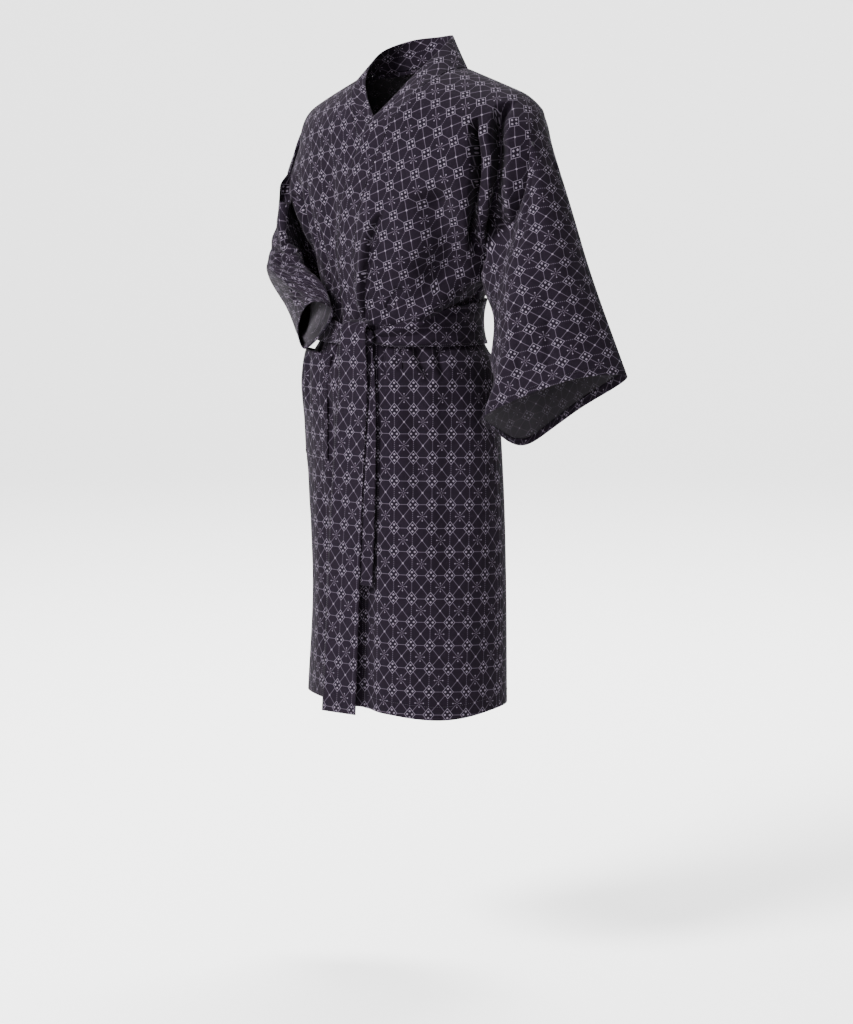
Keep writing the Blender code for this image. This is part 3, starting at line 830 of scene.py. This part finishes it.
def makeBack(look):
    levels = bodyLevels(0.0)
    rise = np.clip((levels - coat["domeStart"]) / -coat["domeStart"], 0.0, 1.0)[:, None]
    risen = levels + rise[:, 0] * topLevel
    left = math.pi - sideAngle(risen, 1, "Back")
    right = math.pi - sideAngle(risen, -1, "Back")
    neckTurn = angleAt(neckSeam["x"][-1], coat["domeStart"])
    neckLeft = math.pi - neckTurn
    neckRight = math.pi + neckTurn * rings["left"][-1] / rings["right"][-1]
    share = np.linspace(0.0, 1.0, look["outerCols"])
    neck = np.linspace(0.0, 1.0, look["neckCols"])[1:-1]
    spans = (
        left[:, None] + (neckLeft - left)[:, None] * share,
        np.repeat((neckLeft + (neckRight - neckLeft) * neck)[None, :], len(levels), axis=0),
        neckRight + (right - neckRight)[:, None] * share,
    )
    angles = np.concatenate(spans, axis=1)
    levelGrid = inColumns(levels, angles.shape[1])
    x = bodyForm(angles, levelGrid)[..., 0]
    levelGrid = levelGrid + rise * backNeckLevel(x)
    points = backSurface(angles, levelGrid)
    plain = backSurface(angles, levelGrid, fine=False)
    addPanel(look, levels, points, plain)


makeFront(frontLeft)
makeFront(frontRight)
makeBack(backLook)

# the sleeves: loops through six places, from the top by the front, with the fourth at the under fold;
# the loops, their folds' depths and all the broad and fine folds are in millimetres

sleeveLeft = {
    "name": "sleeveLeft", "node": "sleeve_left", "side": 1, "rows": 124, "around": 200, "hem": 0.010,
    "turn": math.pi / 2 + 0.075, "bent": False,
    "flat": (0.60, 0.44), "area": 0.190, "held": "hung", "on": ("frontLeft", "backPanel"),
    "along": (0.30, 0.60, 1.00),
    "loops": (
        ((280, 4, -190), (276, -58, -215), (234, -76, -320),
         (184, -22, -400), (197, 48, -345), (241, 53, -240)),
        ((329, 6, -322), (316, -68, -340), (252, -102, -425),
         (190, -46, -484), (204, 42, -468), (266, 60, -380)),
        ((402, 2, -481), (342, -82, -486), (206, -100, -545),
         (180, -32, -580), (190, 38, -603), (299, 24, -539)),
    ),
    "folds": (  # around, along, depth, how wide and how long
        (0.75, 0.06, -10, 0.13, 0.07),
        (0.20, 0.50, 6, 0.040, 0.40),
        (0.74, 0.60, 8, 0.045, 0.40),
    ),
    "broad": foldRows(
        (-13, 50, (186, -22, -270), (182, -26, -340), (182, -34, -420), (182, -38, -500)),
    ),
    "fine": foldRows(
        (6, 5.5, (252, -40, -150), (271, 2, -164), (284, 30, -180)),
        (8, 11, (250, -52, -150), (255, -62, -212), (248, -80, -290)),
        (5, 6, (308, -78, -390), (313, -84, -424), (316, -88, -474)),
        (6, 8, (318, 20, -260), (330, 26, -330), (350, 30, -400)),
        (5, 7, (240, 64, -260), (232, 58, -340), (240, 50, -430)),
        (4, 6, (262, -94, -360), (270, -100, -430), (268, -96, -500)),
    ),
}
sleeveRight = {
    "name": "sleeveRight", "node": "sleeve_right", "side": -1, "rows": 150, "around": 170, "hem": 0.010,
    "turn": math.pi / 2, "bent": True,
    "flat": (0.60, 0.44), "area": 0.190, "held": "hung", "on": ("frontRight", "backPanel"),
    "along": (0.28, 0.52, 0.76, 1.00),
    "loops": (
        ((-258, -2, -200), (-232, -64, -228), (-192, -98, -292),
         (-194, 0, -372), (-232, 60, -330), (-268, 56, -250)),
        ((-286, 0, -312), (-238, -84, -296), (-158, -100, -320),
         (-196, -30, -404), (-250, 46, -400), (-296, 44, -352)),
        ((-266, -56, -348), (-186, -134, -335), (-86, -138, -350),
         (-128, -122, -424), (-208, -46, -434), (-264, -12, -396)),
        ((-119, -146, -388), (-83, -156, -375), (-69, -133, -392),
         (-99, -126, -430), (-150, -108, -457), (-160, -112, -425)),
    ),
    "folds": (
        (0.25, 0.07, -8, 0.12, 0.08),
        (0.28, 0.40, 10, 0.14, 0.034),
        (0.28, 0.52, 8, 0.14, 0.030),
        (0.28, 0.64, 6, 0.12, 0.030),
    ),
    "broad": foldRows(
        (-16, 28, (-214, -50, -170), (-196, -66, -230), (-182, -80, -280), (-160, -84, -330)),
    ),
    "fine": foldRows(
        (8, 5, (-206, -116, -300), (-198, -104, -309), (-190, -60, -318), (-185, -27, -322)),
        (6, 4.5, (-204, -70, -288), (-198, -50, -295), (-190, -30, -302)),
        (5, 4.5, (-212, -48, -264), (-208, -40, -272), (-204, -36, -280)),
        (6, 5, (-206, -110, -316), (-172, -130, -327), (-140, -141, -335)),
        (5, 3.8, (-160, -138, -345), (-143, -146, -352), (-112, -146, -355), (-80, -142, -359)),
        (5, 3.8, (-162, -128, -359), (-147, -136, -365), (-114, -142, -368), (-80, -145, -371)),
        (4, 3.8, (-164, -122, -373), (-140, -134, -380), (-112, -142, -384)),
        (6, 7, (-262, 20, -250), (-280, 10, -320), (-280, -10, -370)),
        (7, 6, (-290, 20, -340), (-270, -20, -370), (-230, -50, -400)),
        (5, 6, (-240, 56, -330), (-262, 30, -380), (-262, -2, -404)),
        (5, 5.5, (-200, -60, -432), (-160, -90, -440), (-128, -110, -440)),
    ),
}


def armholeLoop(side, count, fine):
    # from the shoulder down the front to the armpit and up the back, on the panels' edges
    levels = np.linspace(topLevel, coat["armpit"], count // 2 + 1)
    front = frontSurface(sideAngle(levels, side, "Front"), levels, side, fine=fine)
    back = backSurface(math.pi - sideAngle(levels, side, "Back"), levels, fine)
    return np.concatenate([front[:-1], back[::-1][:-1]])


def sleeveLoop(places, count):
    places = np.array(places) / perMetre
    wrapped = np.concatenate([places[-2:], places, places[:2]])
    return curve(np.arange(-2, len(places) + 2) / len(places), wrapped, np.arange(count) / count)


def openedUnder(grid):
    # from the under fold, where the sleeve is sewn up, all round and back to it
    grid = np.roll(grid, -grid.shape[1] // 2, axis=1)
    return np.concatenate([grid, grid[:, :1]], axis=1)


# shares of the sleeve's length over which its own folds begin and the body's creases end
sleeveJoin = {"folds": 0.05, "creases": 0.10}


def makeSleeve(look):
    count = look["around"]
    armhole = armholeLoop(look["side"], count, False)
    drawnIn = armholeLoop(look["side"], count, True) - armhole
    shapes = [armhole] + [sleeveLoop(places, count) for places in look["loops"]]
    along = np.linspace(0.0, 1.0, look["rows"])
    points = curve((0.0,) + look["along"], np.array(shapes), along)
    around = np.arange(count) / count
    inward = unit(points.mean(axis=1, keepdims=True) - points)
    push = np.zeros((look["rows"], count))
    for place, at, depth, wide, long in look["folds"]:
        far = ((around[None, :] - place) / wide) ** 2 + ((along[:, None] - at) / long) ** 2
        push += depth / perMetre * np.exp(-far)
    joins = smooth(along / sleeveJoin["folds"])[:, None]
    points = points + inward * (push * joins)[..., None]
    joined = (1 - smooth(along / sleeveJoin["creases"]))[:, None, None] * drawnIn
    if look["side"] < 0:
        points, joined = points[:, ::-1], joined[:, ::-1]
    points, joined = openedUnder(points), openedUnder(joined)
    points = points - gridNormals(points) * (foldPush(points, look["broad"]) * joins)[..., None]
    maps = [tubeMap(points, look["turn"]) if look["bent"] else flatMap(points, look["turn"])]
    points = points - gridNormals(points) * (foldPush(points, look["fine"]) * joins)[..., None] + joined
    rows = sewn(points, "cuff")
    points, maps = withEdges(points, maps, top=hemRows(look["hem"]), bottom=rollRows(seamRoll))
    finishCloth(addSheet(look["name"], points, maps, bothSides), look, rows)


makeSleeve(sleeveLeft)
makeSleeve(sleeveRight)

# the neck band, one doubled strip from hem to hem round the back of the neck

collar = {
    "left": {  # upper edge of the band, and the level on the front where its seam lies
        "station": (0.0, 1.0, 2.0, 3.0, 4.0, 5.0),
        "x": (0.000, 0.040, 0.057, 0.053, 0.036, 0.018),
        "y": (0.060, 0.040, 0.000, -0.038, -0.069, -0.092),
        "z": (0.044, 0.045, 0.033, 0.006, -0.025, -0.055),
        "level": (topLevel, topLevel, topLevel, -0.002, -0.050, -0.082),
    },
    "right": {
        "station": (0.0, 1.0, 2.0, 3.0, 4.0, 5.0),
        "x": (0.000, -0.045, -0.070, -0.070, -0.055, -0.030),
        "y": (0.060, 0.042, 0.000, -0.034, -0.066, -0.090),
        "z": (0.044, 0.038, 0.021, -0.003, -0.032, -0.062),
        "level": (topLevel, topLevel, topLevel, -0.010, -0.052, -0.083),
    },
}


def bandHalf(side, look, cols=20):
    share = np.linspace(0.0, 1.0, cols)[None, :]
    low = bodyLevels(0.0)
    low = low[low < coat["crossing"] - look["turnOff"]]
    rim = side * column(freeEdge, "x", low)
    seam = side * (column(freeEdge, "x", low) + coat["bandWidth"])
    x = seam[:, None] * (1 - share) + rim[:, None] * share
    levelGrid = inColumns(low, cols)
    flat = frontSurface(angleAt(x, levelGrid), levelGrid, side)
    table = collar[sideName[side]]
    stations = np.linspace(table["station"][-1], table["station"][0], look["rows"])
    edge = np.stack([column(table, axis, stations) for axis in "xyz"], axis=-1)
    level = np.minimum(column(table, "level", stations), topLevel)
    seamFront = frontSurface(angleAt(side * column(neckSeam, "x", level), level), level, side)
    turn = np.clip(stations / look["backEnd"], 0.0, 1.0) * math.pi / 2
    backX = side * neckSeam["x"][-1] * np.sin(turn)
    backLevel = backNeckLevel(backX)
    seamBack = backSurface(math.pi - angleAt(backX, backLevel), backLevel)
    seam = np.where((stations > look["backEnd"])[:, None], seamFront, seamBack)
    share = share[..., None]
    raised = seam[:, None] * (1 - share) + edge[:, None] * share
    return np.concatenate([flat, raised])


neckBand = {
    "node": "neck_band", "half": 0.0008, "rows": 70,
    "backEnd": 2.0,            # the station where the band passes from the back to a front
    "turnOff": 0.008,          # how far below the crossing it begins to stand up
    "flat": (0.050, 2.40), "held": "hung", "on": ("frontLeft", "frontRight", "backPanel"),
}


def makeBand(look):
    points = np.concatenate([bandHalf(1, look), bandHalf(-1, look)[::-1][1:]])
    piece = addDoubled("neckBand", points, lengthMap(points), clothFace, look["half"])
    finishCloth(piece, look, sewn(points, "strip", look["half"], -1))


makeBand(neckBand)

# the patch pocket

pocketPart = {
    "node": "pocket_right",
    "flat": (0.144, 0.200), "held": "laid", "on": ("frontRight",),
    "low": -0.632, "high": -0.464, "middle": -50, "half": 23,        # the last two in degrees
    "lift": 0.0010, "bulge": 0.014, "bulgeRise": 1.6,
    "folds": foldRows(
        (4.5, 7, (-146, -462), (-146, -500), (-150, -545)),
        (4, 6, (-166, -464), (-164, -505), (-166, -550)),
        (-3, 8, (-156, -466), (-155, -505), (-158, -560)),
    ),
}


def makePocket(part, rows=44, cols=42):
    share = np.linspace(-1.0, 1.0, cols)
    angles = math.radians(part["middle"]) + share * math.radians(part["half"])
    angles = np.repeat(angles[None, :], rows, axis=0)
    levelGrid = inColumns(np.linspace(part["low"], part["high"], rows), cols)
    up = np.linspace(0.0, 1.0, rows)[:, None]
    lift = part["lift"] + part["bulge"] * up ** part["bulgeRise"] * (1 - share[None, :] ** 2)
    points = frontSurface(angles, levelGrid, -1, lift, fine=False)
    maps = [lengthMap(points)]
    points = points - gridNormals(points) * foldPush(points[..., [0, 2]], part["folds"])[..., None]
    rows = sewn(points, "pocket")
    turned = rollRows(edgeRoll)
    hem = hemRows(coat["hemDepth"])
    points, maps = withEdges(points, maps, bottom=turned, first=turned, last=turned, top=hem)
    finishCloth(addSheet("pocketRight", points, maps, bothSides), part, rows)


makePocket(pocketPart)

# the belt round the waist, its knot and its two ends

beltHalf = 0.0009   # half the thickness of the doubled strip
beltRows = {  # its edges by the degrees round from the front, drawn in at the knot
    "degrees": (0, 15, 38, 70, 110, 180),
    "top": (-0.4225, -0.4150, -0.3990, -0.3810, -0.3750, -0.3750),
    "bottom": (-0.4375, -0.4430, -0.4440, -0.4445, -0.4450, -0.4450),
    "lift": 0.0060,
    "node": "belt", "flat": (0.070, 0.84), "held": "stretched",
    "on": ("frontLeft", "frontRight", "backPanel"),
}
beltFolds = foldRows(  # along the belt from the knot, positive to the wearer's left, and z
    (-6, 6.2, (10, -424), (34, -419), (66, -413), (110, -404)),
    (-4.5, 4, (10, -421), (36, -409), (60, -399), (84, -391)),
    (-6.2, 5.6, (10, -434), (40, -438), (70, -438), (120, -434)),
    (2, 2.2, (16, -429), (44, -429), (74, -427), (112, -420)),
    (-3.4, 6, (112, -404), (160, -396), (214, -398)),
    (-2.6, 5, (130, -436), (176, -430), (226, -424)),
    (-3, 3.6, (-14, -427), (-36, -412), (-70, -396)),
    (-2.8, 3.4, (-14, -432), (-42, -430), (-80, -420)),
    (-3, 6, (-110, -400), (-170, -394), (-230, -402)),
    (-3, 5.5, (-150, -430), (-210, -424), (-270, -432)),
    (-2.8, 6, (-320, -398), (-360, -404), (-400, -400)),
    (-2.8, 6, (290, -412), (340, -420), (390, -414)),
)
longEnd = {
    "height": (-1.040, -0.900, -0.750, -0.600, -0.510, -0.455, -0.430, -0.410, -0.404),
    "x": (-0.053, -0.046, -0.039, -0.029, -0.020, -0.016, -0.014, -0.012, -0.011),
    "depth": (0.1435, 0.1430, 0.1425, 0.1430, 0.1455, 0.1510, 0.1522, 0.1480, 0.1365),
    "width": (0.070, 0.068, 0.066, 0.062, 0.059, 0.055, 0.052, 0.048, 0.046),
    "node": "belt_end_long", "flat": (0.070, 0.65), "held": "hung", "on": ("beltKnot",),
}
shortEnd = {
    "height": (-0.828, -0.740, -0.650, -0.550, -0.480, -0.4435),
    "x": (-0.016, -0.010, -0.004, 0.000, 0.001, 0.001),
    "depth": (0.1395, 0.1395, 0.1395, 0.1395, 0.1398, 0.1418),
    "width": (0.060, 0.056, 0.050, 0.044, 0.036, 0.030),
    "node": "belt_end_short", "flat": (0.060, 0.39), "held": "hung", "on": ("beltKnot",),
}
knot = {
    "centre": (0.000, -0.1418, -0.4300), "half": (0.01728, 0.0081, 0.01248), "thick": 0.0014,
    "squareness": 3.0, "ends": 0.15,                     # the ends' share of the full width
    "gathers": ((0.07, 11.0, 0.6), (0.03, 23.0, 0.0)),   # depth, how often, start
    "node": "belt_knot", "flat": (0.030, 0.085), "held": "folded", "on": ("beltRound",),
}


def makeBelt(count=260, cols=22):
    angle = np.linspace(0.0, 2 * math.pi, count + 1)
    turned = np.degrees(np.abs((angle + math.pi) % (2 * math.pi) - math.pi))
    share = np.linspace(0.0, 1.0, cols)
    bottom = column(beltRows, "bottom", turned)[:, None]
    top = column(beltRows, "top", turned)[:, None]
    level = bottom * (1 - share) + top * share
    flat = bodyForm(inColumns(angle, cols), level) * np.array([1.0, 1.0, 0.0])
    points = flat + unit(flat) * beltRows["lift"]
    points[..., 2] = level
    mapped = lengthMap(points)
    reach = mapped[:, cols // 2, 1]
    reach = np.where(angle > math.pi, reach - reach[-1], reach)
    places = np.stack([inColumns(reach, cols), level], axis=-1)
    points = points + unit(flat) * -foldPush(places, beltFolds)[..., None]
    piece = addDoubled("beltRound", points, mapped, beltFace, beltHalf, ring=True)
    finishCloth(piece, beltRows, sewn(points, "ring", beltHalf, -1))


def makeStrip(name, table, cols=20):
    low, high = table["height"][0], table["height"][-1]
    at = np.linspace(high, low, math.ceil((high - low) / coat["step"]) + 1)
    points = np.zeros((len(at), cols, 3))
    wide = column(table, "width", at)[:, None] * np.linspace(-0.5, 0.5, cols)
    points[..., 0] = column(table, "x", at)[:, None] + wide
    points[..., 1] = -column(table, "depth", at)[:, None]
    points[..., 2] = at[:, None]
    piece = addDoubled(name, points, lengthMap(points), beltFace, beltHalf)
    finishCloth(piece, table, sewn(points, "strip", beltHalf, -1))


def makeKnot(around=61, rows=33):
    # the strap wrapped once round, gathered into folds that run round the knot
    turn = np.linspace(0.0, 2 * math.pi, around)
    up = np.linspace(-1.0, 1.0, rows)
    draw = np.sqrt(np.maximum(1 - np.abs(up) ** knot["squareness"], 0.0)) * (1 - knot["ends"]) + knot["ends"]
    gather = 1 + sum(depth * np.sin(up * often + start) for depth, often, start in knot["gathers"])
    half = np.array(knot["half"])
    points = np.zeros((rows, around, 3))
    points[..., 0] = half[0] * np.sin(turn) * (draw * gather)[:, None]
    points[..., 1] = -half[1] * np.cos(turn) * (draw * gather)[:, None]
    points[..., 2] = (half[2] * up)[:, None]
    points = points + np.array(knot["centre"])
    piece = addSheet("beltKnot", points, [lengthMap(points)], (beltFace,), thick=knot["thick"])
    finishCloth(piece, knot, [])


makeBelt()
makeStrip("beltEndLong", longEnd)
makeStrip("beltEndShort", shortEnd)
makeKnot()

# floor, lights and camera

stage = {"floor": -1.47, "radius": 7.0, "sides": 96, "rise": 3.0, "steps": 8, "wall": 4.0}
bpy.ops.object.select_all(action="DESELECT")
place = (0, 0, stage["floor"])
bpy.ops.mesh.primitive_circle_add(
    vertices=stage["sides"], radius=stage["radius"], fill_type="NGON", location=place)
backdrop = bpy.context.object
backdrop.name = "backdrop"
bpy.ops.object.mode_set(mode="EDIT")
bpy.ops.mesh.select_all(action="SELECT")
bpy.ops.mesh.region_to_loop()
reach = stage["rise"] * math.radians(90) / stage["steps"]
radius = stage["radius"]
for step in range(stage["steps"]):
    turn = math.radians(90) * (step + 0.5) / stage["steps"]
    wider = radius + reach * math.cos(turn)
    bpy.ops.mesh.extrude_edges_move(TRANSFORM_OT_translate={"value": (0, 0, reach * math.sin(turn))})
    bpy.ops.transform.resize(value=(wider / radius, wider / radius, 1.0))
    radius = wider
bpy.ops.mesh.extrude_edges_move(TRANSFORM_OT_translate={"value": (0, 0, stage["wall"])})
bpy.ops.object.mode_set(mode="OBJECT")
editMesh(backdrop, faceOutward)
bpy.ops.object.shade_smooth()
paper = Paint("paper")
paper.set(Base_Color=(0.96, 0.96, 0.96, 1.0), Roughness=0.95, Specular_IOR_Level=0.1)
backdrop.data.materials.append(paper.material)

world = bpy.data.worlds.new("studio")
bpy.context.scene.world = world
world.use_nodes = True
sky = world.node_tree.nodes["Background"]
sky.inputs["Color"].default_value = (1.0, 1.0, 1.0, 1.0)
sky.inputs["Strength"].default_value = 0.9

lamps = (  # name, place, what it points at, size, watts
    ("keyLight", (-0.9, -3.3, 2.2), (0.0, 0.0, -0.5), 1.5, 700.0),
    ("sideLight", (1.6, -3.4, -0.3), (0.0, 0.0, -0.6), 1.2, 40.0),
    ("backLight", (-0.8, 1.6, 3.6), (-3.4, 5.2, -0.6), 2.4, 900.0),
)
for name, place, target, size, power in lamps:
    bpy.ops.object.light_add(type="AREA", location=place)
    lamp = bpy.context.object
    lamp.name = name
    lamp.data.shape = "DISK"
    lamp.data.size = size
    lamp.data.energy = power
    aim = np.array(target) - np.array(place)
    lamp.rotation_euler = (math.atan2(math.hypot(aim[0], aim[1]), -aim[2]), 0.0, math.atan2(-aim[0], aim[1]))

view = {
    "turn": 37.0, "tilt": 82.6, "distance": 4.8, "height": -0.100, "aside": -0.00284,
    "lens": 104.31, "sensor": 36.0, "far": 60.0,
}
turn = math.radians(view["turn"])
place = (view["distance"] * math.sin(turn), -view["distance"] * math.cos(turn), view["height"])
bpy.ops.object.camera_add(location=place, rotation=(math.radians(view["tilt"]), 0.0, turn + view["aside"]))
camera = bpy.context.object
camera.name = "camera"
camera.data.lens = view["lens"]
camera.data.sensor_width = view["sensor"]
camera.data.clip_end = view["far"]
bpy.context.scene.camera = camera
print("stage set")
